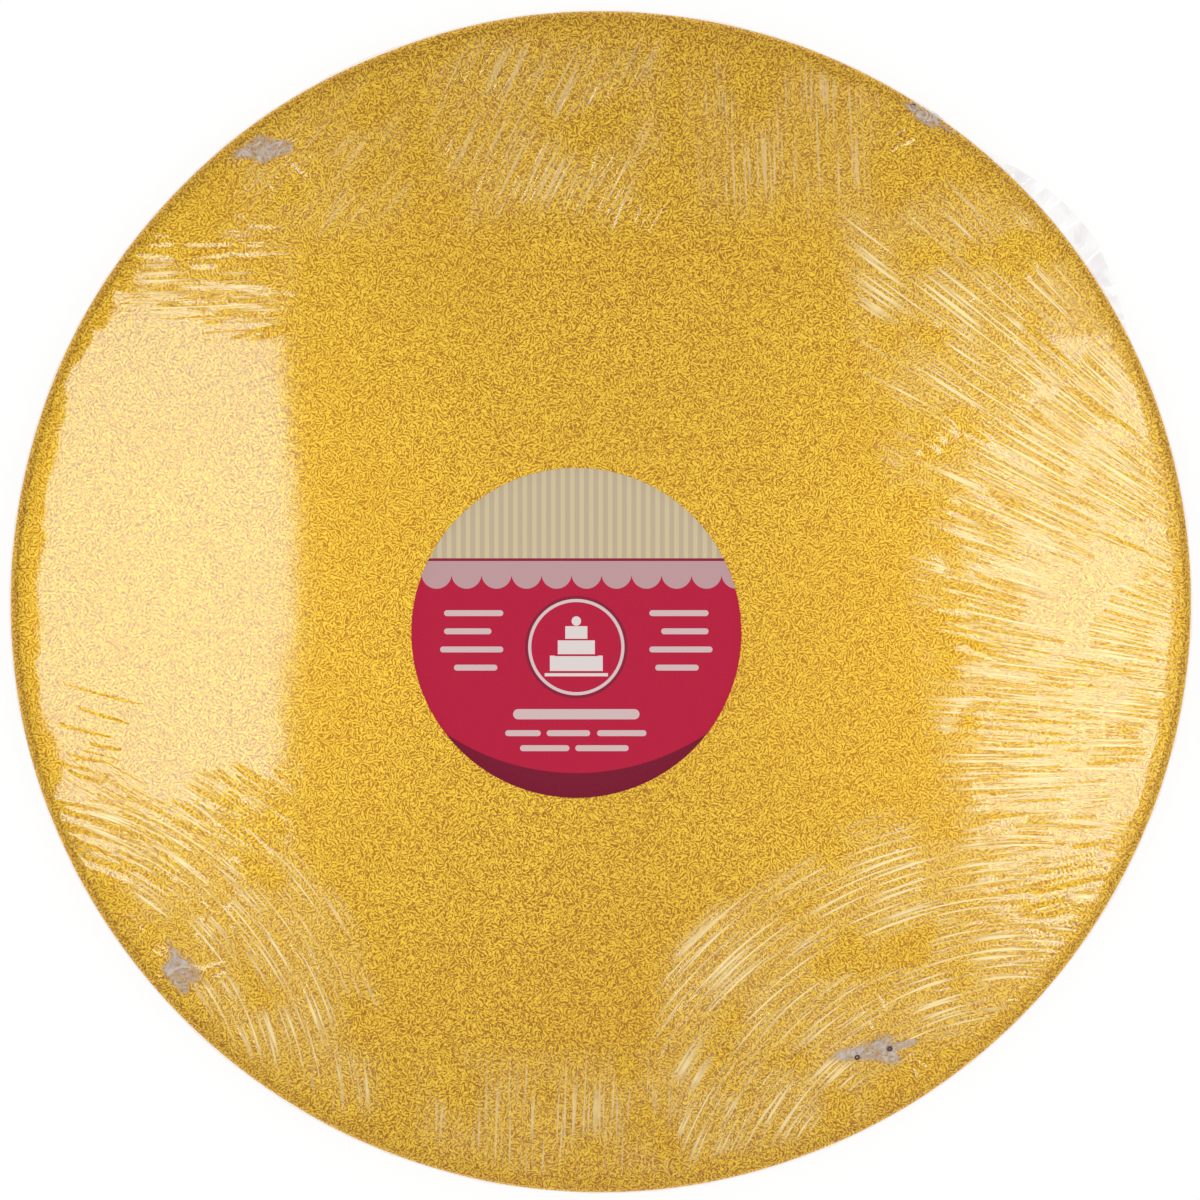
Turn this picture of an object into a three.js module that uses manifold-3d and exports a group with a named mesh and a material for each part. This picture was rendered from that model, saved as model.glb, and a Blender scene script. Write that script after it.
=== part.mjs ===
// A round cake board in its clear shrink film, with a round paper label on the film.
// Units are millimetres. The origin is the middle of the underside, +Z points up out of the
// gold face, and +Y points to the label's top edge.

import * as THREE from "three";
import { mergeVertices } from "three/addons/utils/BufferGeometryUtils.js";
import Module from "manifold-3d";

// The covered board: its outside size, with the foil and the paper liner on it
const BOARD_DIAMETER = 300;
const BOARD_THICKNESS = 12;
const EDGE_RADIUS = 2.4;

// The foil paper that covers the face and the rim, and turns in under the board as a pleated hem
const FOIL_THICKNESS = 0.3;
const HEM_WIDTH = 20;
const PLEAT_HEIGHT = 0.15;
const GLUE_GAP = 0.1;

// The paper liner that hides the hem's raw edge
const LINER_THICKNESS = 0.25;
const LINER_OVERLAP = 6;

// The shrink film, its gathers and its clearance at the rim
const FILM_THICKNESS = 0.25;
const FILM_GAP = 0.15;
const GATHER_HEIGHT = 0.4;

// How far each gather runs in from the rim over the face: degrees round from +X, and millimetres
const GATHER_LENGTHS = [
  [0, 58],
  [20, 52],
  [45, 38],
  [70, 38],
  [90, 52],
  [110, 46],
  [135, 38],
  [155, 16],
  [180, 12],
  [205, 20],
  [225, 46],
  [245, 38],
  [270, 29],
  [285, 38],
  [297, 60],
  [315, 62],
  [345, 56],
  [360, 58],
];

// Where the face's four rings of film vertices lie, as shares of the longest gather
const GATHER_RINGS = [1, 0.7, 0.42, 0.18];

// The crumpled corners of the film, shrunk flat on the face near the rim.
// Each has its place as an angle and a distance in from the rim, its size and its turn.
const CORNERS = [
  { angle: 126.6, inset: 7.6, length: 14, width: 9, turn: 20 },
  { angle: 56, inset: 1.6, length: 17, width: 5, turn: -34 },
  { angle: 301.9, inset: 16, length: 18, width: 9, turn: 15 },
  { angle: 221.2, inset: 8.4, length: 13, width: 7.5, turn: -60 },
];
const CORNER_HEIGHT = 1.1;
const CRUMPLE = 0.3;

// Vents that the heat opened in the film beside two of its corners, along the corner's own length
const VENTS = [
  { corner: 1, along: -4.6 },
  { corner: 2, along: -6 },
  { corner: 2, along: 2.5 },
];
const VENT_DIAMETER = 1.6;

// The strip of film left standing out of the rim past its seal
const FLAP_START = 24;
const FLAP_END = 54;
const FLAP_PEAK = 38;
const FLAP_REACH = 6.6;
const FLAP_THICKNESS = 0.25;
const FLAP_STEPS = 18;

// The label, and its middle's place on the face
const LABEL_DIAMETER = 83.6;
const LABEL_THICKNESS = 0.15;
const LABEL_X = -6.2;
const LABEL_Y = -7.9;

// The flat ring of film kept clear round the label, where the face can be rested on
const LABEL_MARGIN = 4;

// How finely the round shapes are cut
const SEGMENTS = 120;
const CORNER_STEPS = 3;
const VENT_SIDES = 8;

// Heights, from the floor up
const linerLow = FILM_THICKNESS;
const hemLow = linerLow + LINER_THICKNESS;
const coreLow = hemLow + FOIL_THICKNESS;
const faceHigh = FILM_THICKNESS + BOARD_THICKNESS;
const coreHigh = faceHigh - FOIL_THICKNESS;
const filmHigh = faceHigh + FILM_THICKNESS;

// Radii
const boardRadius = BOARD_DIAMETER / 2;
const coreRadius = boardRadius - FOIL_THICKNESS - GLUE_GAP;
const hemInner = boardRadius - HEM_WIDTH;
const linerRadius = hemInner + LINER_OVERLAP;
const filmInside = boardRadius + FILM_GAP;
const filmOutside = filmInside + FILM_THICKNESS;
const gatherLongest = Math.max(...GATHER_LENGTHS.map(([, length]) => length));
const labelReach = Math.hypot(LABEL_X, LABEL_Y) + LABEL_DIAMETER / 2;

const wasm = await Module();
wasm.setup();

// A repeatable value from 0 to 1 for a whole number, so that no two gathers or creases match
function scatter(n) {
  const wave = Math.sin(n * 12.9898 + 4.1414) * 43758.5453;
  return wave - Math.floor(wave);
}

// A quarter circle of profile points with their outward normals, from one angle to another
function arc(centreR, centreZ, radius, from, to) {
  return Array.from({ length: CORNER_STEPS + 1 }, (_, i) => {
    const a = THREE.MathUtils.degToRad(THREE.MathUtils.lerp(from, to, i / CORNER_STEPS));
    const normal = new THREE.Vector2(Math.cos(a), Math.sin(a));
    return { r: centreR + radius * normal.x, z: centreZ + radius * normal.y, normal };
  });
}

// The side of a round slab with rounded shoulders, from its underside up to its face
function slabRim(radius, low, high, shoulder) {
  return [
    ...arc(radius - shoulder, low + shoulder, shoulder, -90, 0),
    ...arc(radius - shoulder, high - shoulder, shoulder, 0, 90),
  ];
}

// A level stretch of profile points at the given radii, facing up or down
function level(radii, z, up) {
  return radii.map((r) => ({ r, z, normal: new THREE.Vector2(0, up ? 1 : -1) }));
}

// The profile turned round Z. Each point may be moved along its normal, by its ring and its angle.
function revolve(profile, lift = () => 0) {
  const outline = profile.map(({ r, z }) => new THREE.Vector2(r, z));
  const geometry = new THREE.LatheGeometry(outline, SEGMENTS);
  const position = geometry.getAttribute("position");
  for (let turn = 0; turn <= SEGMENTS; turn += 1) {
    const phi = (turn / SEGMENTS) * 2 * Math.PI;
    profile.forEach((point, ring) => {
      const height = lift(point, turn % SEGMENTS);
      const r = point.r + height * point.normal.x;
      const z = point.z + height * point.normal.y;
      position.setXYZ(turn * profile.length + ring, r * Math.sin(phi), z, r * Math.cos(phi));
    });
  }
  return geometry.rotateX(Math.PI / 2);
}

// A closed geometry as a solid for joining and cutting
function toSolid(geometry) {
  const bare = geometry.index ? geometry.toNonIndexed() : geometry.clone();
  bare.deleteAttribute("normal");
  bare.deleteAttribute("uv");
  const merged = mergeVertices(bare, 1e-4);
  const index = merged.index.array;
  const triVerts = [];
  for (let i = 0; i < index.length; i += 3) {
    const [a, b, c] = index.slice(i, i + 3);
    if (a !== b && b !== c && c !== a) triVerts.push(a, b, c);
  }
  const vertProperties = merged.getAttribute("position").array;
  return new wasm.Manifold(
    new wasm.Mesh({ numProp: 3, vertProperties, triVerts: new Uint32Array(triVerts) }),
  );
}

function toGeometry(solid) {
  const { vertProperties, triVerts } = solid.getMesh();
  const geometry = new THREE.BufferGeometry();
  geometry.setAttribute("position", new THREE.BufferAttribute(vertProperties, 3));
  geometry.setIndex(new THREE.BufferAttribute(triVerts, 1));
  geometry.computeVertexNormals();
  return geometry;
}

// The stiff board inside
function coreBoard() {
  const shoulder = EDGE_RADIUS - FOIL_THICKNESS;
  return revolve([
    { r: 0, z: coreLow, normal: new THREE.Vector2(0, -1) },
    ...slabRim(coreRadius, coreLow, coreHigh, shoulder),
    { r: 0, z: coreHigh, normal: new THREE.Vector2(0, 1) },
  ]);
}

// The foil paper: a sheet over the face, folded round the rim, with a pleated hem underneath
function foilWrap() {
  const hemMiddle = (linerRadius + boardRadius - EDGE_RADIUS) / 2;
  const outside = [
    ...level([hemInner, linerRadius], hemLow, false),
    { r: hemMiddle, z: hemLow, normal: new THREE.Vector2(0, -1), pleated: true },
    ...slabRim(boardRadius, hemLow, faceHigh, EDGE_RADIUS),
    ...level([0], faceHigh, true),
  ];
  const inside = [
    ...level([hemInner], coreLow, false),
    ...slabRim(boardRadius - FOIL_THICKNESS, coreLow, coreHigh, EDGE_RADIUS - FOIL_THICKNESS),
    ...level([0], coreHigh, true),
  ];
  const pleat = (point, turn) => (point.pleated && turn % 2 ? PLEAT_HEIGHT : 0);
  return revolve([...inside.reverse(), ...outside], pleat);
}

// The paper disc glued over the hem's raw edge
function baseLiner() {
  return new THREE.CylinderGeometry(linerRadius, linerRadius, LINER_THICKNESS, SEGMENTS)
    .rotateX(Math.PI / 2)
    .translate(0, 0, linerLow + LINER_THICKNESS / 2);
}

// How far the gathers run in from the rim at an angle round from +X, in degrees
function gatherLength(angle) {
  const turned = THREE.MathUtils.euclideanModulo(angle, 360);
  const next = GATHER_LENGTHS.findIndex(([at]) => at > turned);
  const [fromAngle, from] = GATHER_LENGTHS[next - 1];
  const [toAngle, to] = GATHER_LENGTHS[next];
  return THREE.MathUtils.mapLinear(turned, fromAngle, toAngle, from, to);
}

// The height of the film's gathers: every other line of vertices is lifted round the rim. It fades
// out in from the rim over the face, and under the rim, so that the board lies flat.
function gather(point, turn) {
  if (turn % 2 === 0) return 0;
  const reach = gatherLength((turn / SEGMENTS) * 360 - 90);
  const inset = boardRadius - point.r;
  const fade =
    point.normal.y > 0
      ? 1 - THREE.MathUtils.smoothstep(inset, 0, reach)
      : 1 + point.normal.y;
  return GATHER_HEIGHT * (0.5 + 0.5 * scatter(turn)) * fade;
}

// The film's inner or outer skin as a solid, gathers and all
function filmSkin(radius, low, high) {
  const shoulder = EDGE_RADIUS + radius - boardRadius;
  const gatherRadii = GATHER_RINGS.map((share) => boardRadius - share * gatherLongest);
  const faceRadii = [...gatherRadii, labelReach + LABEL_MARGIN].sort((a, b) => b - a);
  return toSolid(
    revolve(
      [
        ...level([0], low, false),
        ...slabRim(radius, low, high, shoulder),
        ...level([...faceRadii, 0], high, true),
      ],
      gather,
    ),
  );
}

// A place on the film's face, in from the rim at an angle
function onFace(angle, inset) {
  const a = THREE.MathUtils.degToRad(angle);
  const r = boardRadius - inset;
  return new THREE.Vector3(r * Math.cos(a), r * Math.sin(a), filmHigh);
}

// A crumpled corner: a flattened lump whose creases stand in and out
function crumpledCorner({ angle, inset, length, width, turn }, seed) {
  const lump = new THREE.IcosahedronGeometry(1, 1);
  lump.deleteAttribute("normal");
  lump.deleteAttribute("uv");
  const geometry = mergeVertices(lump, 1e-4);
  const position = geometry.getAttribute("position");
  for (let i = 0; i < position.count; i += 1) {
    const crease = 1 - CRUMPLE * scatter(i + seed);
    position.setXYZ(
      i,
      (position.getX(i) * crease * length) / 2,
      (position.getY(i) * crease * width) / 2,
      position.getZ(i) * crease * CORNER_HEIGHT,
    );
  }
  geometry.rotateZ(THREE.MathUtils.degToRad(turn));
  geometry.translate(...onFace(angle, inset));
  return toSolid(geometry);
}

// A small round vent through the film beside a corner
function vent({ corner, along }) {
  const { angle, inset, turn } = CORNERS[corner];
  const a = THREE.MathUtils.degToRad(turn);
  const middle = onFace(angle, inset).add(
    new THREE.Vector3(along * Math.cos(a), along * Math.sin(a), 0),
  );
  const height = 2 * (CORNER_HEIGHT + GATHER_HEIGHT + FILM_THICKNESS);
  const geometry = new THREE.CylinderGeometry(
    VENT_DIAMETER / 2,
    VENT_DIAMETER / 2,
    height,
    VENT_SIDES,
  );
  return toSolid(geometry.rotateX(Math.PI / 2).translate(...middle));
}

// The strip of film past the seal: a thin crescent that stands out of the rim
function sealFlap() {
  const shape = new THREE.Shape();
  const rootRadius = filmInside + FILM_THICKNESS / 2;
  const at = (angle, radius) => {
    const a = THREE.MathUtils.degToRad(angle);
    return [radius * Math.cos(a), radius * Math.sin(a)];
  };
  shape.moveTo(...at(FLAP_START, rootRadius));
  for (let i = 1; i < FLAP_STEPS; i += 1) {
    const angle = THREE.MathUtils.lerp(FLAP_START, FLAP_END, i / FLAP_STEPS);
    const end = angle < FLAP_PEAK ? FLAP_START : FLAP_END;
    const rise = THREE.MathUtils.smoothstep((angle - end) / (FLAP_PEAK - end), 0, 1);
    shape.lineTo(...at(angle, boardRadius + FLAP_REACH * rise + FILM_GAP + FILM_THICKNESS));
  }
  for (let i = FLAP_STEPS; i > 0; i -= 1) {
    const angle = THREE.MathUtils.lerp(FLAP_START, FLAP_END, i / FLAP_STEPS);
    shape.lineTo(...at(angle, rootRadius));
  }
  const middle = (filmHigh - FLAP_THICKNESS) / 2;
  return toSolid(
    new THREE.ExtrudeGeometry(shape, { depth: FLAP_THICKNESS, bevelEnabled: false }).translate(
      0,
      0,
      middle,
    ),
  );
}

// The shrink film: a gathered skin round the whole board, open only at its vents
function shrinkFilm() {
  let film = filmSkin(filmOutside, 0, filmHigh).add(sealFlap());
  CORNERS.forEach((corner, i) => {
    film = film.add(crumpledCorner(corner, i * 50));
  });
  film = film.subtract(filmSkin(filmInside, FILM_THICKNESS, faceHigh));
  for (const hole of VENTS) film = film.subtract(vent(hole));
  return toGeometry(film);
}

// The round label stuck on the film
function faceLabel() {
  const radius = LABEL_DIAMETER / 2;
  return new THREE.CylinderGeometry(radius, radius, LABEL_THICKNESS, SEGMENTS)
    .rotateX(Math.PI / 2)
    .translate(0, 0, LABEL_THICKNESS / 2);
}

function piece(name, geometry, look) {
  const mesh = new THREE.Mesh(geometry, new THREE.MeshStandardMaterial(look));
  mesh.name = name;
  return mesh;
}

const cakeBoard = new THREE.Group();

cakeBoard.add(
  piece("core_board", coreBoard(), { color: 0xa08c6e, roughness: 0.9, metalness: 0 }),
  piece("foil_wrap", foilWrap(), { color: 0xdba938, roughness: 0.42, metalness: 1 }),
  piece("base_liner", baseLiner(), { color: 0xf2efe8, roughness: 0.85, metalness: 0 }),
  piece("shrink_film", shrinkFilm(), {
    color: 0xf4f2ee,
    roughness: 0.08,
    metalness: 0,
    transparent: true,
    opacity: 0.2,
  }),
);

const label = piece("face_label", faceLabel(), { color: 0xc71f45, roughness: 0.5, metalness: 0 });
label.position.set(LABEL_X, LABEL_Y, filmHigh);
cakeBoard.add(label);

export default cakeBoard;
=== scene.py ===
import math

import bpy
import numpy as np
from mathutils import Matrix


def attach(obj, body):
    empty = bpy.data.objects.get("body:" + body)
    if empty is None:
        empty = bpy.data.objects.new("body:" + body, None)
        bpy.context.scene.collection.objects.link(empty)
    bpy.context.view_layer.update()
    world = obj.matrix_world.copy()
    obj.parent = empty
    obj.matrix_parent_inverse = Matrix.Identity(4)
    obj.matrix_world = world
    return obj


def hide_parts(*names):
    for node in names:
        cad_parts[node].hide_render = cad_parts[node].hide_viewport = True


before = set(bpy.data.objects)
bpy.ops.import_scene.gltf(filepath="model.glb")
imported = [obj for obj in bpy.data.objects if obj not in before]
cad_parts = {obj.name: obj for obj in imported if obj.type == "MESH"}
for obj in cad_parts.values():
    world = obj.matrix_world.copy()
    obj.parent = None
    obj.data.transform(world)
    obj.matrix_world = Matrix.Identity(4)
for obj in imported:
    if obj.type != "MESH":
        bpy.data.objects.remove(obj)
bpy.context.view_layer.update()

# Sizes of the board and its film in millimetres, as in the solid model
MM = 0.001
BOARD_RADIUS = 150.0
EDGE_RADIUS = 2.4
FILM_LOW = 0.0
FILM_HIGH = 12.5
FOIL_LOW = 0.5
FOIL_HIGH = 12.25
HEM_WIDTH = 20.0
FILM_SIDE = 150.12
FILM_INSET = 0.12
LABEL_RADIUS = 41.8
LABEL_LOW = 12.5
LABEL_HIGH = 12.65
LABEL_MIDDLE = (-6.2, -7.9)

# How finely the film is drawn: lines round the board, the step between its rings out towards the
# rim, and where the face piece ends and the edge piece begins
FILM_LINES = 1320
FILM_STEP = 0.8
FILM_SPLIT = 110.0

# How finely the foil and the label are cut round the board
FOIL_LINES = 480
LABEL_LINES = 240

rng = np.random.default_rng(7)


# Meshes

def mesh_object(name, points, faces, material, smooth=True, normals=None):
    """A mesh object from points in millimetres."""
    mesh = bpy.data.meshes.new(name)
    mesh.from_pydata((np.asarray(points) * MM).tolist(), [], faces)
    mesh.polygons.foreach_set("use_smooth", [smooth] * len(mesh.polygons))
    mesh.materials.append(material)
    if normals is not None:
        mesh.normals_split_custom_set_from_vertices(normals)
    mesh.update()
    made = bpy.data.objects.new(name, mesh)
    bpy.context.scene.collection.objects.link(made)
    return made


def ring_faces(rings, lines, closed=True, outward=False):
    """Quads between rings of points that run round the board.

    They face up where the rings run in towards the middle, or out to the rim if outward is set."""
    faces = []
    for ring in range(rings - 1):
        for line in range(lines if closed else lines - 1):
            a = ring * lines + line
            b = ring * lines + (line + 1) % lines
            quad = (a, b, b + lines, a + lines)
            faces.append(quad[::-1] if outward else quad)
    return faces


def turned(radii, heights, lines):
    """Points on rings round Z, as an array of rings, lines and coordinates."""
    angle = np.linspace(0, 2 * math.pi, lines, endpoint=False)
    grid = np.empty((len(radii), lines, 3))
    grid[:, :, 0] = np.outer(radii, np.cos(angle))
    grid[:, :, 1] = np.outer(radii, np.sin(angle))
    grid[:, :, 2] = np.asarray(heights)[:, None]
    return grid


def shoulder(radius, z, size, start, end, steps):
    """Radii and heights along a rounded shoulder between two angles in degrees."""
    angles = np.radians(np.linspace(start, end, steps))
    return radius + size * np.cos(angles), z + size * np.sin(angles)


def around(count, low, high):
    """A smooth closed curve of chance values round the board, as a function of the angle."""
    values = rng.uniform(low, high, count)

    def at(angle):
        place = np.mod(angle / (2 * math.pi), 1) * count
        first = np.floor(place).astype(int) % count
        share = place - np.floor(place)
        share = share * share * (3 - 2 * share)
        return values[first] * (1 - share) + values[(first + 1) % count] * share

    return at


def finish_piece(piece, node):
    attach(piece, "root")
    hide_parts(node)
    return piece


# Shader nodes

class Nodes:
    """The nodes of one material or world, with short calls for the ones used here."""

    def __init__(self, owner, output="OutputMaterial"):
        self.owner = owner
        owner.use_nodes = True
        self.tree = owner.node_tree
        self.tree.nodes.clear()
        self.output = self.add(output)

    def add(self, kind, inputs=(), **settings):
        node = self.tree.nodes.new("ShaderNode" + kind)
        for key, value in settings.items():
            setattr(node, key, value)
        for key, value in dict(inputs).items():
            self.put(node, key, value)
        return node

    def put(self, node, key, value):
        if isinstance(value, bpy.types.NodeSocket):
            self.tree.links.new(value, node.inputs[key])
        else:
            node.inputs[key].default_value = value

    def math(self, operation, a, b=0.0, c=0.0):
        return self.add("Math", {0: a, 1: b, 2: c}, operation=operation).outputs[0]

    def product(self, first, *others):
        for other in others:
            first = self.math("MULTIPLY", first, other)
        return first

    def vector(self, operation, a, b=None):
        node = self.add("VectorMath", {0: a}, operation=operation)
        if operation == "SCALE":
            self.put(node, "Scale", b)
        elif b is not None:
            self.put(node, 1, b)
        return node.outputs["Value" if operation == "DOT_PRODUCT" else "Vector"]

    def noise(self, vector, scale, detail, rough=0.5, distortion=0.0):
        inputs = {
            "Vector": vector,
            "Scale": scale,
            "Detail": detail,
            "Roughness": rough,
            "Distortion": distortion,
        }
        return self.add("TexNoise", inputs).outputs["Fac"]

    def span(self, value, low, high, to_low=0.0, to_high=1.0):
        """A value led smoothly from one range into another, and held at its ends."""
        inputs = {"Value": value, 1: low, 2: high, 3: to_low, 4: to_high}
        return self.add("MapRange", inputs, interpolation_type="SMOOTHSTEP").outputs[0]

    def mix(self, share, a, b):
        node = self.add("Mix", {0: share}, data_type="RGBA")
        self.put(node, 6, a)
        self.put(node, 7, b)
        return node.outputs[2]

    def place(self):
        """The place on the object, in metres."""
        return self.add("TexCoord").outputs["Object"]

    def bump(self, height, depth_mm):
        inputs = {"Height": height, "Distance": depth_mm * MM}
        return self.add("Bump", inputs).outputs["Normal"]

    def clear(self, colour):
        return self.add("BsdfTransparent", {"Color": colour}).outputs[0]

    def blend(self, share, first, second):
        """Two shaders mixed: the first at a share of 0, the second at 1."""
        return self.add("MixShader", {0: share, 1: first, 2: second}).outputs[0]

    def principled(self, **inputs):
        names = {key.replace("_", " "): value for key, value in inputs.items()}
        return self.add("BsdfPrincipled", names).outputs[0]

    def finish(self, shader):
        self.tree.links.new(shader, self.output.inputs["Surface"])
        return self.owner


def new_material(name):
    return Nodes(bpy.data.materials.new(name))


def linear(red, green, blue):
    """A colour given as sRGB from 0 to 255."""
    values = [v / 255 for v in (red, green, blue)]
    return tuple(v / 12.92 if v <= 0.04045 else ((v + 0.055) / 1.055) ** 2.4 for v in values) + (1,)


# The foil's emboss: strokes that share a direction in cells, with so many cells to a metre; how far
# the strokes wander and their pitch, in metres; and the scales of the grain and the slow shade.
# The emboss is not shaped: its strokes are painted into the colour as shade and highlight.
EMBOSS_CELLS = 850.0
EMBOSS_WANDER = 0.0012
EMBOSS_PITCH = 0.00072
GRAIN_SCALE = 1500
CLOUD_SCALE = 30

# The gold between painted shade and painted highlight of the emboss, and the colour of its slow
# cloud
GOLD_PAINTED_SHADE = linear(174, 108, 0)
GOLD_PAINTED_HIGHLIGHT = linear(255, 209, 54)
GOLD_CLOUD = linear(208, 146, 8)


def foil_material():
    """Gold lacquered foil with a fine emboss: a sparkle of very short strokes in all directions.

    The emboss has no bump: its strokes, with the grain's own tone, are painted into the colour as
    shade and highlight.
    """
    n = new_material("gold_foil")
    place = n.place()
    warp = n.add("TexNoise", {"Vector": place, "Scale": 900.0, "Detail": 0.0}).outputs["Color"]
    shift = n.vector("SCALE", n.vector("SUBTRACT", warp, (0.5,) * 3), EMBOSS_WANDER)
    bent = n.vector("ADD", place, shift)
    cells = n.add("TexVoronoi", {"Vector": bent, "Scale": EMBOSS_CELLS}).outputs["Color"]
    way = n.vector("MULTIPLY", n.vector("SUBTRACT", cells, (0.5,) * 3), (1.0, 1.0, 0.3))
    run = n.vector("DOT_PRODUCT", bent, n.vector("NORMALIZE", way))
    wave = n.math("SINE", n.math("MULTIPLY", run, 2 * math.pi / EMBOSS_PITCH))
    strokes = n.span(wave, -0.8, 0.8)
    grain = n.span(n.noise(place, GRAIN_SCALE, detail=1.0, rough=0.7), 0.3, 0.7)
    # Painted shade and highlight of the emboss strokes, mixed half and half with the grain's own
    # tone
    shade = n.math("ADD", n.math("MULTIPLY", strokes, 0.5), n.math("MULTIPLY", grain, 0.5))
    gold = n.mix(n.span(shade, 0.15, 0.85), GOLD_PAINTED_SHADE, GOLD_PAINTED_HIGHLIGHT)
    cloud = n.span(n.noise(place, CLOUD_SCALE, detail=1.0), 0.3, 0.7, 0.0, 0.12)
    shader = n.principled(
        Base_Color=n.mix(cloud, gold, GOLD_CLOUD),
        Metallic=1.0,
        Roughness=n.span(grain, 0.0, 1.0, 0.32, 0.44),
    )
    return n.finish(shader)


# Share of the film that mirrors head-on, and what the steepest slant adds to it
MIRROR_HEAD_ON = 0.045
MIRROR_SLANT = 0.4


def film_shader(n, normal, clear, roughness):
    """See-through film with a mirror reflection that grows at a slant, alike from both sides."""
    facing = n.add("LayerWeight", {"Blend": 0.5, "Normal": normal}).outputs["Facing"]
    share = n.math("MULTIPLY_ADD", n.math("POWER", facing, 5.0), MIRROR_SLANT, MIRROR_HEAD_ON)
    gloss = n.principled(Base_Color=(1, 1, 1, 1), Metallic=1.0, Roughness=roughness, Normal=normal)
    return n.blend(share, n.clear(clear), gloss)


FILM_CLEAR = (0.99, 0.987, 0.98, 1)
FILM_SHADOW = (0.94, 0.94, 0.93, 1)
FILM_ROUGHNESS = 0.05
STREAK_DEPTH = 0.16
# Colour of the painted glints along the streaks
PAINTED_GLINT_PALE = linear(255, 228, 166)


def film_material():
    """Clear film with fine streaks, which follow the places and the strength kept on its mesh.

    The streaks bend its reflections, and pale lines along them are painted glints in place of the
    reflections their ridges catch. Where the mesh has no streaks the shader leaves their noises
    out, and shadow rays pass it plainly, which both save time."""
    n = new_material("clear_film")
    place = n.place()
    streak = n.add("Attribute", attribute_name="streak").outputs["Vector"]
    across, along, strength = n.add("SeparateXYZ", {0: streak}).outputs

    def lines(fine, slow):
        places = {0: n.product(across, fine), 1: n.product(along, slow)}
        return n.noise(n.add("CombineXYZ", places).outputs[0], 1.0, detail=0.0)

    ridges = n.span(lines(0.95, 0.05), 0.46, 0.76)
    patches = n.noise(place, 62, detail=1.0)
    bent = n.product(ridges, strength, n.span(patches, 0.45, 0.6))
    uneven = n.product(n.noise(place, 260, detail=0.0), 0.03)
    calm = film_shader(n, n.bump(uneven, STREAK_DEPTH), FILM_CLEAR, FILM_ROUGHNESS)
    rough = n.bump(n.math("ADD", uneven, bent), STREAK_DEPTH)
    streaked = film_shader(n, rough, FILM_CLEAR, FILM_ROUGHNESS)
    # Painted glints: pale rough metal laid along the streaks where their ridges would mirror the
    # light
    glint_lines = n.span(lines(1.4, 0.05), 0.52, 0.74, 0.09, 0.85)
    painted_glint_share = n.product(glint_lines, strength, n.span(patches, 0.32, 0.52))
    pale = n.principled(Base_Color=PAINTED_GLINT_PALE, Metallic=1.0, Roughness=0.4)
    with_painted_glints = n.blend(painted_glint_share, streaked, pale)
    film = n.blend(n.math("GREATER_THAN", strength, 0.0), calm, with_painted_glints)
    shadow = n.add("LightPath").outputs["Is Shadow Ray"]
    return n.finish(n.blend(shadow, film, n.clear(FILM_SHADOW)))


def crumpled_material():
    """Film bunched in many layers, which turns milky and thins out at its ragged edge."""
    n = new_material("crumpled_film")
    place = n.place()
    folds = n.noise(place, 300, detail=4.0, rough=0.65, distortion=2.0)
    normal = n.bump(folds, 0.25)
    colour = n.mix(n.span(folds, 0.3, 0.7), linear(196, 172, 150), linear(236, 220, 210))
    milky = n.principled(Base_Color=colour, Roughness=0.35, Normal=normal)
    edge = n.add("Attribute", attribute_name="edge").outputs["Fac"]
    torn = n.math("MULTIPLY_ADD", n.noise(place, 170, detail=3.0), 0.9, edge)
    kept = n.span(torn, 0.95, 1.4, 1.0, 0.0)
    share = n.product(n.span(folds, 0.35, 0.6, 0.3, 0.8), kept)
    return n.finish(n.blend(share, n.clear((0.98, 0.97, 0.96, 1)), milky))


def paper_material(name, colour, dark, scale):
    """Matt paper or board with a mottle of fibres."""
    n = new_material(name)
    place = n.place()
    fibres = n.noise(place, scale, detail=5.0, rough=0.7)
    base = n.mix(n.span(fibres, 0.35, 0.7), colour, dark)
    shader = n.principled(Base_Color=base, Roughness=0.85, Normal=n.bump(fibres, 0.03))
    return n.finish(shader)


def vent_material():
    """Dark brown, mottled film round a small vent."""
    n = new_material("dark_vent_ring")
    rough = n.noise(n.place(), 900, detail=2.0)
    base = n.mix(rough, linear(52, 30, 14), linear(104, 66, 30))
    return n.finish(n.principled(Base_Color=base, Roughness=0.4, Normal=n.bump(rough, 0.1)))


# The label's inks
CRIMSON = linear(197, 22, 62)
CREAM = linear(208, 184, 154)
CREAM_STRIPE = linear(222, 205, 162)
BORDER_PINK = linear(205, 163, 164)
BORDER_LINE = linear(150, 32, 60)
FOOT_DARK = linear(130, 12, 46)
BADGE_OUTER = linear(150, 24, 56)
BADGE_RING = linear(231, 208, 205)
CAKE_PALE = linear(240, 226, 222)
PRINT_PALE = linear(226, 196, 194)
FIBRE_PALE = linear(240, 225, 220)

# The label's layout in millimetres from its middle: the stripes and the scallops repeat, and the
# border lies between two heights with a thin line above it
STRIPE_PITCH = 2.4
STRIPE_WIDTH = 1.15
SCALLOP_PITCH = 7.6
BORDER_LOW = 15.0
BORDER_HIGH = 18.2
BORDER_LINE_TOP = 18.9
BADGE_MIDDLE = -3.6
BADGE_RADII = (13.0, 12.2, 11.4)


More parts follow.
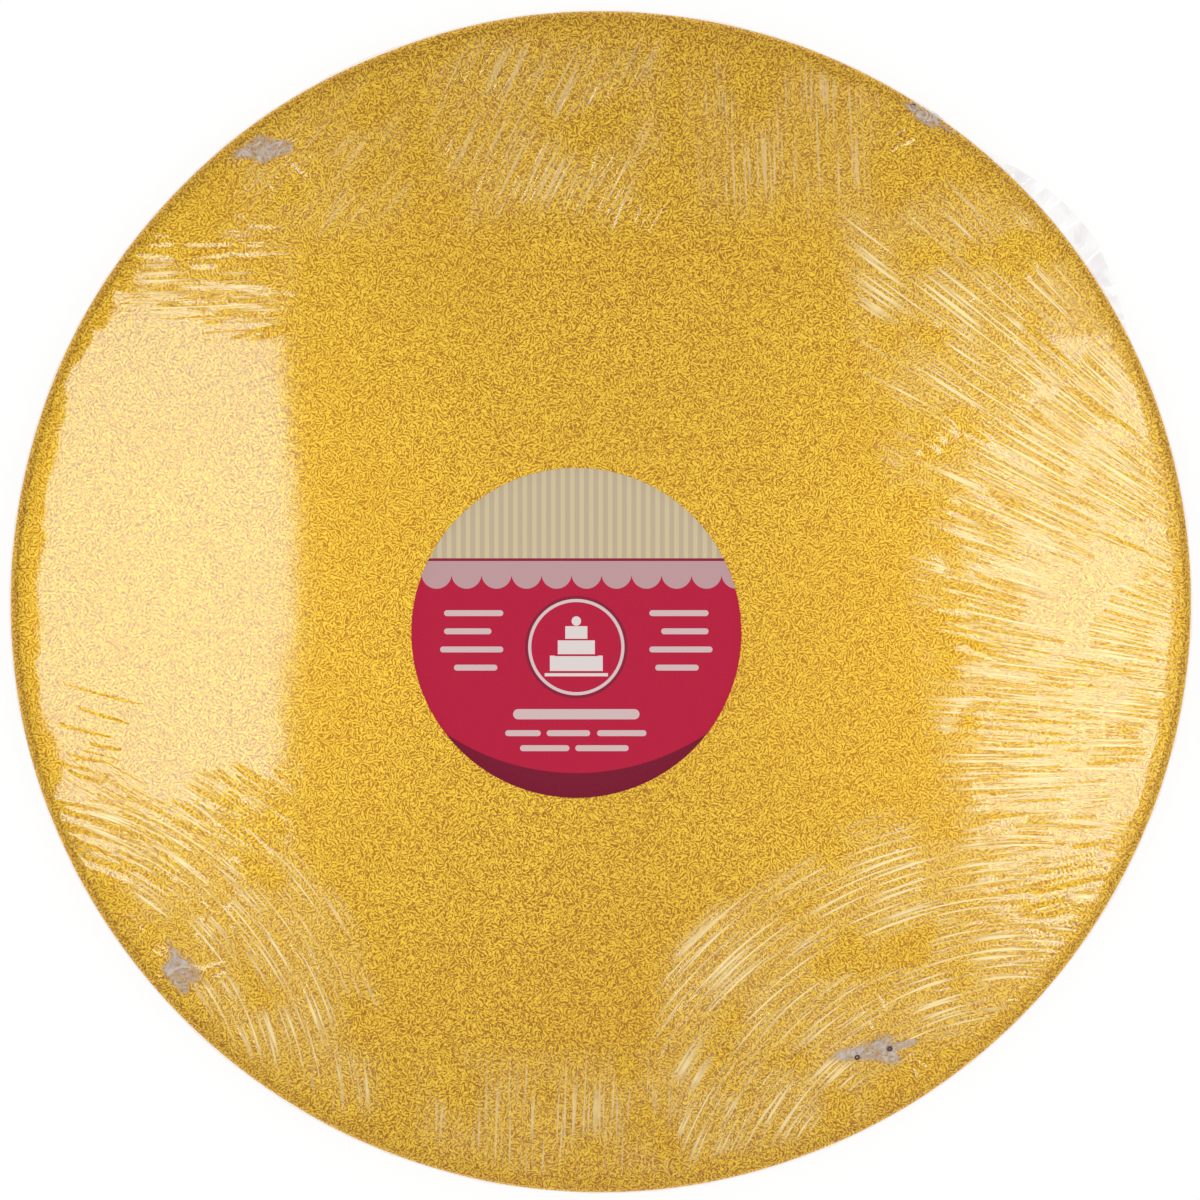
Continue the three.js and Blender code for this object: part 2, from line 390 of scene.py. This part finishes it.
def label_material():
    """The printed label: fields of colour, stripes, a scalloped border, a badge and plain bars."""
    n = new_material("printed_label")
    place = n.place()
    across, up, _ = n.add("SeparateXYZ", {0: place}).outputs
    u = n.math("SUBTRACT", n.math("DIVIDE", across, MM), LABEL_MIDDLE[0])
    v = n.math("SUBTRACT", n.math("DIVIDE", up, MM), LABEL_MIDDLE[1])
    fibre = n.noise(place, 2600, detail=3.0)

    def less(a, b):
        return n.math("LESS_THAN", a, b)

    def more(a, b):
        return n.math("GREATER_THAN", a, b)

    def off(a, b):
        return n.math("ABSOLUTE", n.math("SUBTRACT", a, b))

    def distance(x, y):
        dx = n.math("SUBTRACT", u, x)
        dy = n.math("SUBTRACT", v, y)
        return n.math("SQRT", n.math("ADD", n.product(dx, dx), n.product(dy, dy)))

    def bar(x, y, width, height):
        dx = n.math("MAXIMUM", n.math("SUBTRACT", off(u, x), width / 2 - height / 2), 0.0)
        dy = off(v, y)
        reach = n.math("SQRT", n.math("ADD", n.product(dx, dx), n.product(dy, dy)))
        return less(reach, height / 2)

    def block(x, y, width, height):
        return n.product(less(off(u, x), width / 2), less(off(v, y), height / 2))

    def repeat(pitch):
        """The place across within a pattern that repeats."""
        return n.math("MODULO", n.math("ADD", u, 100.0), pitch)

    def band(low, high):
        return n.product(more(v, low), less(v, high))

    # Crimson field, and cream with pale yellow stripes above it
    cream = n.mix(less(repeat(STRIPE_PITCH), STRIPE_WIDTH), CREAM, CREAM_STRIPE)
    colour = n.mix(more(v, BORDER_LOW), CRIMSON, cream)

    # Pale pink border whose lower edge hangs in scallops
    step = n.math("SUBTRACT", repeat(SCALLOP_PITCH), SCALLOP_PITCH / 2)
    hang = n.math("SQRT", n.math("MAXIMUM", n.math("SUBTRACT", 14.5, n.product(step, step)), 0.0))
    edge = n.math("SUBTRACT", BORDER_LOW, hang)
    colour = n.mix(band(edge, BORDER_HIGH), colour, BORDER_PINK)
    colour = n.mix(band(BORDER_HIGH, BORDER_LINE_TOP), colour, BORDER_LINE)

    # Dark foot that curves up at its ends
    colour = n.mix(more(distance(0.0, 24.0), 59.5), colour, FOOT_DARK)

    # Round badge with a tiered cake on a stand
    rim = distance(0.0, BADGE_MIDDLE)
    for radius, ink in zip(BADGE_RADII, (BADGE_OUTER, BADGE_RING, CRIMSON)):
        colour = n.mix(less(rim, radius), colour, ink)
    cake = [
        block(0.0, BADGE_MIDDLE - 4.1, 13.4, 3.9),
        block(0.0, BADGE_MIDDLE, 9.4, 3.6),
        block(0.0, BADGE_MIDDLE + 3.7, 5.6, 3.2),
        less(distance(0.0, BADGE_MIDDLE + 6.6), 1.2),
        block(0.0, BADGE_MIDDLE - 7.0, 16.0, 0.8),
    ]
    for shape in cake:
        colour = n.mix(shape, colour, CAKE_PALE)
    for height in (-2.1, 1.9):
        colour = n.mix(block(0.0, BADGE_MIDDLE + height, 11.0, 0.4), colour, CRIMSON)

    # Plain bars, where small print would be
    rows = [(0.0, -20.6, 32.0, 2.6)]
    rows += [(x, -25.4, w, 1.5) for x, w in ((-13.5, 9.0), (-2.0, 11.0), (11.5, 12.5))]
    rows += [(x, -29.2, w, 1.5) for x, w in ((-8.0, 12.5), (6.5, 13.5))]
    beside = ((26.0, 5.0, 15.0), (27.5, 0.4, 12.0), (26.5, -4.2, 16.0), (25.5, -8.8, 11.0))
    for side in (-1, 1):
        rows += [(side * x, y, w, 1.5) for x, y, w in beside]
    for x, y, width, height in rows:
        colour = n.mix(bar(x, y, width, height), colour, PRINT_PALE)

    ink = n.mix(n.span(fibre, 0.3, 0.75, 0.0, 0.012), colour, FIBRE_PALE)
    shader = n.principled(
        Base_Color=ink,
        Roughness=0.55,
        Specular_IOR_Level=0.15,
        Normal=n.bump(fibre, 0.01),
    )
    return n.finish(shader)


# Foil paper

def foil_sheet():
    """The foil over face and rim, turned in underneath as a pleated hem."""
    start = BOARD_RADIUS - EDGE_RADIUS
    inner = BOARD_RADIUS - HEM_WIDTH
    hem = np.linspace(inner, start - 0.5, 9)
    low, low_z = shoulder(start, FOIL_LOW + EDGE_RADIUS, EDGE_RADIUS, -90, 0, 7)
    top, top_z = shoulder(start, FOIL_HIGH - EDGE_RADIUS, EDGE_RADIUS, 0, 90, 9)
    face = np.array([144.0, 135.0, 120.0, 90.0, 60.0, 30.0, 0.0])
    radii = np.concatenate([[inner], hem, low, [BOARD_RADIUS], top, face])
    heights = np.concatenate([
        [FOIL_LOW + 0.3],
        np.full(len(hem), FOIL_LOW),
        low_z,
        [6.4],
        top_z,
        np.full(len(face), FOIL_HIGH),
    ])
    grid = turned(radii, heights, FOIL_LINES)
    angle = np.linspace(0, 2 * math.pi, FOIL_LINES, endpoint=False)

    # Pleats of the turned-in hem, and the slightly uneven rim
    pleat = np.maximum(np.sin(60 * angle), 0) ** 2 * around(60, 0.5, 1.0)(angle)
    share = np.sin(np.linspace(0, math.pi, len(hem))) ** 0.5
    hem_end = 1 + len(hem)
    grid[1:hem_end, :, 2] -= 0.2 * np.outer(share, pleat)
    uneven = 1 - around(26, 0.0, 0.0016)(angle)
    rim_end = hem_end + len(low) + 1 + len(top)
    grid[hem_end:rim_end, :, :2] *= uneven[None, :, None]
    faces = ring_faces(len(radii), FOIL_LINES)
    piece = mesh_object("foil_sheet", grid.reshape(-1, 3), faces, foil_material())
    return finish_piece(piece, "foil_wrap")


# Wrinkles of the film, drawn on a square map of heights in millimetres

MAP_CELL = 0.25
MAP_REACH = 152.0
map_count = int(2 * MAP_REACH / MAP_CELL) + 1
wrinkles = np.zeros((map_count, map_count))


def ridge(x, y, angle, length, width, rise, bend=0.0):
    """One wrinkle: a ridge along a slightly bent line, that fades out at both ends."""
    reach = length / 2 + 3 * width
    low = [int(max((c - reach + MAP_REACH) / MAP_CELL, 0)) for c in (x, y)]
    high = [int(min((c + reach + MAP_REACH) / MAP_CELL + 2, map_count)) for c in (x, y)]
    if low[0] >= high[0] or low[1] >= high[1]:
        return
    px = np.arange(low[0], high[0]) * MAP_CELL - MAP_REACH - x
    py = np.arange(low[1], high[1]) * MAP_CELL - MAP_REACH - y
    gx, gy = np.meshgrid(px, py)
    along = gx * math.cos(angle) + gy * math.sin(angle)
    side = -gx * math.sin(angle) + gy * math.cos(angle) - bend * along * along / 2
    ends = np.clip(1 - (2 * along / length) ** 2, 0, 1)
    height = rise * ends * np.exp(-((side / width) ** 2))
    patch = wrinkles[low[1]:high[1], low[0]:high[0]]
    np.maximum(patch, height, out=patch)


def bundle(x, y, flow, count, spacing, length, width, rise):
    """Wrinkles that lie side by side along a flow, which gives their angle and bend at a point."""
    angle, _ = flow(x, y)
    for i in range(count):
        across = (i - (count - 1) / 2) * spacing + rng.normal(0, 0.16 * spacing)
        along = rng.normal(0, 0.16 * length)
        px = x - across * math.sin(angle) + along * math.cos(angle)
        py = y + across * math.cos(angle) + along * math.sin(angle)
        turn, bend = flow(px, py)
        ridge(
            px,
            py,
            turn + rng.normal(0, 0.025),
            length * rng.uniform(0.6, 1.35),
            width * rng.uniform(0.8, 1.25),
            rise * rng.uniform(0.6, 1.3),
            bend,
        )


def straight(degrees, spread=3.0):
    return lambda x, y: (math.radians(degrees + rng.normal(0, spread)), 0.0)


# Slant of the wrinkles of the right side, which draw together towards the rim, at levels in Y
FAN_LEVELS = [-80, -60, -45, -30, -9, 21, 51, 80, 100]
FAN_DEGREES = [19, 8, 2, -4, -10, -24, -35, -45, -55]

# Points outside the rim about which the arcs lie
ARCS_RIGHT = (108.8, -171.9)
ARCS_LEFT = (-153.4, -134.1)


def fan(x, y):
    return math.radians(float(np.interp(y, FAN_LEVELS, FAN_DEGREES))), 0.0


def rings_about(cx, cy):
    """Arcs about a point outside the rim."""
    def flow(x, y):
        radius = math.hypot(x - cx, y - cy)
        return math.atan2(y - cy, x - cx) + math.pi / 2, 1 / radius
    return flow


def strew(flow, count, box, lines, spacing, length, width, rise, inside=lambda x, y: True):
    """Bundles at chance places in a box of the face."""
    made = 0
    while made < count:
        x = rng.uniform(box[0], box[1])
        y = rng.uniform(box[2], box[3])
        if math.hypot(x, y) > 149 or not inside(x, y):
            continue
        bundle(
            x,
            y,
            flow,
            int(rng.integers(lines[0], lines[1] + 1)),
            rng.uniform(*spacing),
            rng.uniform(*length),
            width,
            rng.uniform(*rise),
        )
        made += 1


def draw_wrinkles():
    lower_right = rings_about(*ARCS_RIGHT)
    lower_left = rings_about(*ARCS_LEFT)

    def in_right_arcs(x, y):
        return 66 < math.dist((x, y), ARCS_RIGHT) < 124

    def in_left_arcs(x, y):
        return 62 < math.dist((x, y), ARCS_LEFT) < 104

    # Right side: long bundles across the reflection
    strew(fan, 20, (90, 140, -78, 62), (4, 10), (2.1, 2.9), (18, 38), 0.8, (0.07, 0.13))
    strew(fan, 12, (76, 112, 40, 95), (2, 6), (2.2, 3.4), (9, 20), 0.7, (0.05, 0.1))

    # Lower right and lower left: arcs about the bag's corners
    strew(lower_right, 16, (18, 145, -120, -50), (3, 7), (2.3, 3.6), (16, 40), 0.7, (0.07, 0.13),
          in_right_arcs)
    strew(lower_left, 10, (-138, -58, -125, -46), (3, 6), (2.2, 3.4), (14, 34), 0.7, (0.07, 0.13),
          in_left_arcs)

    # Across the foot of the left reflection
    bundle(-126, -28, straight(-14, 1), 3, 5.0, 20, 0.5, 0.08)
    bundle(-128, -40, straight(-16, 2), 5, 2.4, 12, 0.5, 0.08)
    bundle(-90, -53, straight(-33, 2), 8, 2.3, 17, 0.55, 0.09)
    bundle(-112, -56, straight(-24, 2), 6, 2.4, 20, 0.55, 0.09)

    # Bottom, top and upper left
    strew(straight(90, 5), 9, (-44, 6, -143, -120), (3, 8), (2.2, 3.0), (7, 15), 0.55, (0.07, 0.12))
    strew(straight(86, 6), 8, (6, 66, -143, -112), (2, 5), (2.4, 3.6), (6, 14), 0.55, (0.05, 0.08))
    strew(straight(63, 4), 14, (-40, 14, 96, 138), (1, 4), (2.6, 4.0), (6, 15), 0.5, (0.08, 0.14))
    strew(straight(92, 2), 10, (24, 72, 98, 130), (4, 9), (1.7, 2.4), (9, 20), 0.5, (0.06, 0.11))
    strew(straight(50, 6), 10, (-92, -42, 92, 136), (1, 4), (2.4, 4.0), (6, 14), 0.55, (0.06, 0.1))
    strew(straight(2, 6), 10, (-116, -76, 68, 94), (2, 5), (2.2, 3.0), (6, 15), 0.55, (0.06, 0.1))


# The bag's four corners, crumpled on the face near the rim: name, place, length, width and turn
CORNERS = [
    ("film_corner_a", -85.0, 114.4, 19, 11, 20),
    ("film_corner_b", 83.0, 123.0, 19, 7, -34),
    ("film_corner_c", 70.8, -113.8, 26, 13, 15),
    ("film_corner_d", -106.5, -93.3, 17, 10, -60),
]
CORNER_RISE = 0.5


def draw_corner_wrinkles():
    """Short wrinkles that run out from each crumpled corner."""
    for _, middle_x, middle_y, *_ in CORNERS:
        for _ in range(26):
            angle = rng.uniform(0, 2 * math.pi)
            reach = rng.uniform(5, 13)
            x = middle_x + reach * math.cos(angle)
            y = middle_y + reach * math.sin(angle)
            if math.hypot(x, y) < 148:
                turn = angle + rng.normal(0, 0.4)
                length = rng.uniform(5, 12)
                ridge(x, y, turn, length, 0.55, rng.uniform(0.05, 0.12))


def read_map(values, x, y):
    """Values of a map at places on the face, taken between its cells."""
    column = np.clip((x + MAP_REACH) / MAP_CELL, 0, map_count - 1.001)
    row = np.clip((y + MAP_REACH) / MAP_CELL, 0, map_count - 1.001)
    c0 = column.astype(int)
    r0 = row.astype(int)
    fc = column - c0
    fr = row - r0
    top = values[r0, c0] * (1 - fc) + values[r0, c0 + 1] * fc
    low = values[r0 + 1, c0] * (1 - fc) + values[r0 + 1, c0 + 1] * fc
    return top * (1 - fr) + low * fr


def streak_field(x, y):
    """Where the fine streaks run: the places across and along them, and their strength."""
    def within(value, low, high, soft):
        inner = np.minimum(value - low, high - value) / soft
        return np.clip(inner, 0, 1)

    def lines_at(degrees):
        turn = math.radians(degrees)
        return y * math.cos(turn) - x * math.sin(turn), x * math.cos(turn) + y * math.sin(turn)

    def arcs_about(cx, cy):
        radius = np.hypot(x - cx, y - cy)
        return radius, np.arctan2(y - cy, x - cx) * 90

    # Level at which each line of the right side's fan crosses x = 110
    level = y.copy()
    for _ in range(12):
        level = y - (x - 110) * np.tan(np.radians(np.interp(level, FAN_LEVELS, FAN_DEGREES)))
    left_end = np.interp(y, [-80, -45, 21, 70, 105], [92, 90, 80, 68, 60])

    right = arcs_about(*ARCS_RIGHT)
    left = arcs_about(*ARCS_LEFT)
    zones = [
        ((level, x), within(x, left_end - 6, 152, 10) * within(y, -62, 108, 12)),
        (right, within(right[0], 62, 126, 6) * within(y, -150, -46, 14) * within(x, 12, 150, 8)),
        (left, within(left[0], 58, 106, 6) * within(y, -132, -44, 8) * within(x, -150, -54, 6)),
        (lines_at(-30), within(x, -150, -76, 8) * within(y, -62, -40, 8) * 0.8),
        (lines_at(63), within(x, -46, 18, 8) * within(y, 92, 150, 12) * 0.55),
        (lines_at(92), within(x, 20, 76, 8) * within(y, 94, 140, 10) * 0.55),
        (lines_at(88), within(x, -48, 70, 8) * within(y, -150, -112, 10) * 0.7),
        (lines_at(50), within(x, -96, -46, 8) * within(y, 88, 140, 10) * 0.4),
        (lines_at(2), within(x, -122, -76, 8) * within(y, 66, 96, 8) * 0.8),
    ]
    field = np.zeros(x.shape + (3,))
    for (across, along), strength in zones:
        more = strength > field[..., 2]
        for axis, values in enumerate((across, along, strength)):
            field[..., axis] = np.where(more, values, field[..., axis])
    return field


def swell(x, y):
    """The film's broad, shallow unevenness."""
    height = np.zeros_like(x)
    for length, rise in ((95, 0.025), (61, 0.015), (43, 0.01), (29, 0.006)):
        turn, phase = rng.uniform(0, 2 * math.pi, 2)
        along = x * math.cos(turn) + y * math.sin(turn)
        height += rise * np.sin(along * 2 * math.pi / length + phase)
    return height


def film_pieces():
    """The film as a face piece and an edge piece, which share a ring of points and normals."""
    draw_wrinkles()
    draw_corner_wrinkles()
    size = EDGE_RADIUS + FILM_SIDE - BOARD_RADIUS
    inner = FILM_SIDE - size
    near = np.array([0.0, 8.0, 20.0, 34.0, 48.0, 58.0, 65.0, 70.0])
    far = np.arange(near[-1] + FILM_STEP, inner - 0.1, FILM_STEP)
    top, top_z = shoulder(inner, FILM_HIGH - FILM_INSET - size, size, 90, 0, 9)
    low, low_z = shoulder(inner, FILM_LOW + size, size, 0, -90, 8)
    under = np.array([144.0, 138.0, 130.0, 118.0, 100.0, 50.0, 0.0])
    radii = np.concatenate([near, far, top, [FILM_SIDE, FILM_SIDE], low, under])
    face = len(near) + len(far)
    heights = np.concatenate([
        np.full(face, FILM_HIGH),
        top_z,
        [8.0, 4.5],
        low_z,
        np.full(len(under), FILM_LOW),
    ])
    grid = turned(radii, heights, FILM_LINES)
    angle = np.linspace(0, 2 * math.pi, FILM_LINES, endpoint=False)
    x, y = grid[:face, :, 0], grid[:face, :, 1]

    # The film rolls over towards the rim, earlier on the left and unevenly along it
    left = np.clip(-np.cos(angle - 0.4), 0, 1) ** 2
    roll = 2.6 + 4.8 * left * around(100, 0.45, 1.35)(angle) + around(150, 0.0, 2.0)(angle)
    start = inner - roll
    share = np.clip((radii[:face, None] - start[None, :]) / roll[None, :], 0, 1)
    lift = swell(x, y)
    gathers = around(230, 0.0, 1.0)(angle) ** 1.5
    fade = np.clip((radii[:face, None] - (inner - 9)) / 9, 0, 1) ** 2
    lift += 0.1 * gathers[None, :] * fade
    lift -= FILM_INSET * share ** 2
    grid[:face, :, 2] += lift

    # Gathers over the shoulders and down the side, and faintly underneath
    side_end = face + len(top) + 2 + len(low)
    out = 1 + 0.3 * gathers / FILM_SIDE
    grid[face:side_end, :, :2] *= out[None, :, None]
    fading = np.array([1.0, 0.7, 0.35])
    grid[face:face + len(fading), :, 2] += 0.1 * gathers * fading[:, None]
    pleats = np.outer([0.24, 0.2, 0.15, 0.1, 0.05], gathers)
    grid[side_end:side_end + len(pleats), :, 2] += pleats

    # Normals of the broad shape, with the fine wrinkles' slopes added on the face
    rings_step = np.gradient(grid, axis=0)
    lines_step = (np.roll(grid, -1, axis=1) - np.roll(grid, 1, axis=1)) / 2
    normals = np.cross(rings_step, lines_step)
    normals[0] = (0, 0, 1)
    normals[-1] = (0, 0, -1)
    normals[:face] /= np.maximum(normals[:face, :, 2:], 1e-9)
    slope_y, slope_x = np.gradient(wrinkles, MAP_CELL)
    calm = 1 - 0.5 * share
    normals[:face, :, 0] -= calm * read_map(slope_x, x, y)
    normals[:face, :, 1] -= calm * read_map(slope_y, x, y)
    grid[:face, :, 2] += calm * read_map(wrinkles, x, y)
    normals[0] = (0, 0, 1)
    normals /= np.maximum(np.linalg.norm(normals, axis=2, keepdims=True), 1e-12)

    streaks = np.zeros(grid.shape)
    streaks[:face] = streak_field(x, y)
    streaks[:face, :, 2] *= 1 - share
    split = int(np.searchsorted(radii[:face], FILM_SPLIT)) + 1
    clear = film_material()
    for name, part in (("film_face", slice(0, split)), ("film_edge", slice(split - 1, None))):
        rings = grid[part].shape[0]
        piece = mesh_object(
            name,
            grid[part].reshape(-1, 3),
            ring_faces(rings, FILM_LINES, outward=True),
            clear,
            normals=normals[part].reshape(-1, 3),
        )
        kept = piece.data.attributes.new("streak", "FLOAT_VECTOR", "POINT")
        kept.data.foreach_set("vector", streaks[part].astype(np.float32).ravel())
        finish_piece(piece, "shrink_film")


def film_corner(name, x, y, length, width, degrees, material):
    """A bunched corner of the bag: folded film with a ragged outline."""
    rings, lines = 12, 64
    angle = np.linspace(0, 2 * math.pi, lines, endpoint=False)
    outline = around(11, 0.4, 1.15)(angle)
    share = np.linspace(0, 1, rings)
    reach = share[:, None] * outline[None, :]
    turn = math.radians(degrees)
    lx = reach * np.cos(angle) * length / 2
    ly = reach * np.sin(angle) * width / 2
    folds = np.zeros_like(lx)
    for pitch, rise in ((5.2, 0.4), (3.1, 0.35), (1.9, 0.25)):
        way, phase = rng.uniform(0, 2 * math.pi, 2)
        along = lx * math.cos(way) + ly * math.sin(way)
        folds += rise * (1 - np.abs(np.sin(along * 2 * math.pi / pitch + phase)))
    height = CORNER_RISE * folds * (1 - share[:, None] ** 3)
    points = np.stack([
        x + lx * math.cos(turn) - ly * math.sin(turn),
        y + lx * math.sin(turn) + ly * math.cos(turn),
        FILM_HIGH + 0.02 + height,
    ], axis=2)
    radius = np.hypot(points[:, :, 0], points[:, :, 1])
    over = np.clip(radius - (BOARD_RADIUS - EDGE_RADIUS), 0, EDGE_RADIUS)
    points[:, :, 2] -= EDGE_RADIUS - np.sqrt(EDGE_RADIUS ** 2 - over ** 2)
    limit = np.minimum(1, (FILM_SIDE + 0.3) / radius)
    points[:, :, :2] *= limit[:, :, None]
    faces = ring_faces(rings, lines, outward=True)
    piece = mesh_object(name, points.reshape(-1, 3), faces, material)
    edge = piece.data.attributes.new("edge", "FLOAT", "POINT")
    edge.data.foreach_set("value", np.repeat(share, lines).astype(np.float32))
    return finish_piece(piece, "shrink_film")


# The small vents beside two of the corners: name and place
VENTS = [
    ("vent_a", 79.2, 125.6, 12.2),
    ("vent_b", 65.0, -115.4, 12.75),
    ("vent_c", 73.2, -113.2, 12.95),
]
VENT_RADIUS = 0.45
VENT_EDGE = 0.22
VENT_EDGE_RISE = 0.2


def vent_edge(name, x, y, z, material):
    """A dark brown bead round a small vent in the film."""
    lines, sides = 28, 8
    around_vent = np.linspace(0, 2 * math.pi, lines, endpoint=False)
    around_edge = np.linspace(0, 2 * math.pi, sides, endpoint=False)
    radius = VENT_RADIUS * around(7, 0.8, 1.2)(around_vent)
    points = []
    for turn, size in zip(around_vent, radius):
        for lean in around_edge:
            r = size + VENT_EDGE * math.cos(lean)
            height = z + VENT_EDGE_RISE * math.sin(lean)
            points.append((x + r * math.cos(turn), y + r * math.sin(turn), height))
    faces = []
    for i in range(lines):
        this, following = i * sides, ((i + 1) % lines) * sides
        for j in range(sides):
            k = (j + 1) % sides
            faces.append((this + j, following + j, following + k, this + k))
    piece = mesh_object(name, points, faces, material)
    return finish_piece(piece, "shrink_film")


# The flap: where round the rim it starts, stands out furthest and ends, how far, and at what height
FLAP_START = 24.0
FLAP_PEAK = 38
FLAP_END = 53.5
FLAP_REACH = 6.4
FLAP_HEIGHT = 6.3
FLAP_WAVE = 1.1


def seal_flap():
    """The strip of film left past the seal, standing out of the rim at the upper right."""
    lines, rings = 140, 10
    degrees = np.linspace(FLAP_START, FLAP_END, lines)
    rise = np.where(
        degrees < FLAP_PEAK,
        (degrees - FLAP_START) / (FLAP_PEAK - FLAP_START),
        (FLAP_END - degrees) / (FLAP_END - FLAP_PEAK),
    )
    ragged = around(300, 0.93, 1.0)(np.radians(degrees))
    reach = FLAP_REACH * rise * rise * (3 - 2 * rise) * ragged
    share = np.linspace(0, 1, rings)
    radius = BOARD_RADIUS + 0.1 + share[:, None] * reach[None, :]
    angle = np.radians(degrees)[None, :]
    waves = around(420, -1.0, 1.0)(np.radians(degrees))
    points = np.stack([
        radius * np.cos(angle),
        radius * np.sin(angle),
        FLAP_HEIGHT + FLAP_WAVE * waves[None, :] * share[:, None],
    ], axis=2)
    n = new_material("flap_film")
    streaks = n.noise(n.place(), 130, detail=2.0, distortion=1.2)
    clear = n.mix(n.span(streaks, 0.45, 0.75), linear(254, 253, 253), linear(243, 238, 239))
    material = n.finish(film_shader(n, n.bump(streaks, 0.15), clear, 0.1))
    faces = ring_faces(rings, lines, closed=False)
    piece = mesh_object("film_flap", points.reshape(-1, 3), faces, material)
    return finish_piece(piece, "shrink_film")


def label_disc():
    radii = [LABEL_RADIUS, LABEL_RADIUS, LABEL_RADIUS - 0.06, 38.0, 24.0, 12.0, 0.0]
    heights = [LABEL_LOW, LABEL_HIGH - 0.05] + [LABEL_HIGH] * 5
    grid = turned(radii, heights, LABEL_LINES)
    grid[:, :, :2] += LABEL_MIDDLE
    faces = ring_faces(len(radii), LABEL_LINES)
    piece = mesh_object("label_disc", grid.reshape(-1, 3), faces, label_material())
    return finish_piece(piece, "face_label")


foil_sheet()
film_pieces()
crumpled = crumpled_material()
for corner in CORNERS:
    film_corner(*corner, crumpled)
vent_dark = vent_material()
for vent in VENTS:
    vent_edge(*vent, vent_dark)
seal_flap()
label_disc()

# The core and the liner keep their solids, with a material of their own
board_paper = paper_material("raw_board", linear(163, 143, 112), linear(128, 108, 80), 400)
liner_paper = paper_material("liner_paper", linear(243, 240, 232), linear(226, 221, 210), 900)
for node, material in (("core_board", board_paper), ("base_liner", liner_paper)):
    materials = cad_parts[node].data.materials
    materials.clear()
    materials.append(material)


# Camera, straight above the face: its height over it, the half width of the face that it sees, and
# its shift off the middle, all in millimetres

CAMERA_HEIGHT = 1100.0
FRAME_HALF = 152.03
CAMERA_SHIFT = (-0.2, 0.43)
SENSOR_WIDTH = 36
camera_data = bpy.data.cameras.new("camera")
camera_data.sensor_width = SENSOR_WIDTH
camera_data.lens = SENSOR_WIDTH / 2 * CAMERA_HEIGHT / FRAME_HALF
camera = bpy.data.objects.new("camera", camera_data)
camera.location = [v * MM for v in (*CAMERA_SHIFT, CAMERA_HEIGHT + FOIL_HIGH)]
bpy.context.scene.collection.objects.link(camera)
bpy.context.scene.camera = camera


# Floor, lamps and surroundings

# The floor in metres, just under the board, and how much of it is plain white where it is seen
FLOOR_HALF = 3.0
FLOOR_LEVEL = -0.0003
FLOOR_GLOW = 1.06
FLOOR_GLOW_SHARE = 0.84


def floor():
    """A pale floor that looks white and keeps the board's shadow."""
    mesh = bpy.data.meshes.new("floor")
    corners = [(-1, -1), (1, -1), (1, 1), (-1, 1)]
    points = [(x * FLOOR_HALF, y * FLOOR_HALF, FLOOR_LEVEL) for x, y in corners]
    mesh.from_pydata(points, [], [(0, 1, 2, 3)])
    n = new_material("floor")
    diffuse = n.add("BsdfDiffuse", {"Color": (0.9, 0.9, 0.9, 1)}).outputs[0]
    glow = n.add("Emission", {"Color": (1, 1, 1, 1), "Strength": FLOOR_GLOW}).outputs[0]
    path = n.add("LightPath").outputs
    seen = n.math("MAXIMUM", path["Is Camera Ray"], path["Is Glossy Ray"])
    seen = n.math("MAXIMUM", seen, path["Is Transmission Ray"])
    mesh.materials.append(n.finish(n.blend(n.product(seen, FLOOR_GLOW_SHARE), diffuse, glow)))
    made = bpy.data.objects.new("floor", mesh)
    bpy.context.scene.collection.objects.link(made)


# The two lamps: how high they hang, and where, how wide and how long their mirror images lie on the
# face under the camera, in millimetres, with each lamp's radiance
LAMP_UP = 800.0
LAMP_COLOUR = (0.76, 0.89, 1.0)
SOFTBOXES = [
    ("softbox_left", -112.3, 6.8, 67.5, 139.4, 5.7),
    ("softbox_right", 121.8, -3.3, 56.5, 144.5, 6.0),
]


def softbox(name, x, y, width, height, radiance):
    """A rectangular lamp that looks straight down and shows in the film."""
    spread = (1 + LAMP_UP / CAMERA_HEIGHT) * MM
    lamp = bpy.data.lights.new(name, "AREA")
    lamp.shape = "RECTANGLE"
    lamp.size = width * spread
    lamp.size_y = height * spread
    lamp.energy = radiance * math.pi * lamp.size * lamp.size_y
    lamp.color = LAMP_COLOUR
    made = bpy.data.objects.new(name, lamp)
    made.location = (x * spread, y * spread, LAMP_UP * MM)
    bpy.context.scene.collection.objects.link(made)


# The world's light: its level all round, and what is added to it overhead, on the whole and for a
# lean of 1 to the right and to the top
WORLD_LEVEL = 0.975
OVERHEAD = -0.18
OVERHEAD_RIGHT = 0.65
OVERHEAD_TOP = -0.5


def surroundings():
    """Soft light from all round, dimmer overhead, at the top and at the left, on white."""
    world = bpy.data.worlds.new("studio")
    bpy.context.scene.world = world
    n = Nodes(world, "OutputWorld")
    right, top, up = n.add("SeparateXYZ", {0: n.add("TexCoord").outputs["Generated"]}).outputs
    dim = n.math("MULTIPLY_ADD", top, OVERHEAD_TOP, OVERHEAD)
    dim = n.math("MULTIPLY_ADD", right, OVERHEAD_RIGHT, dim)
    level = n.math("MULTIPLY_ADD", n.span(up, 0.7, 1.0), dim, WORLD_LEVEL)
    soft = n.add("Background", {"Strength": level}).outputs[0]
    white = n.add("Background", {"Color": (1, 1, 1, 1), "Strength": 1.0}).outputs[0]
    n.finish(n.blend(n.add("LightPath").outputs["Is Camera Ray"], soft, white))


floor()
surroundings()
for lamp in SOFTBOXES:
    softbox(*lamp)

bpy.context.scene.view_settings.view_transform = "Standard"
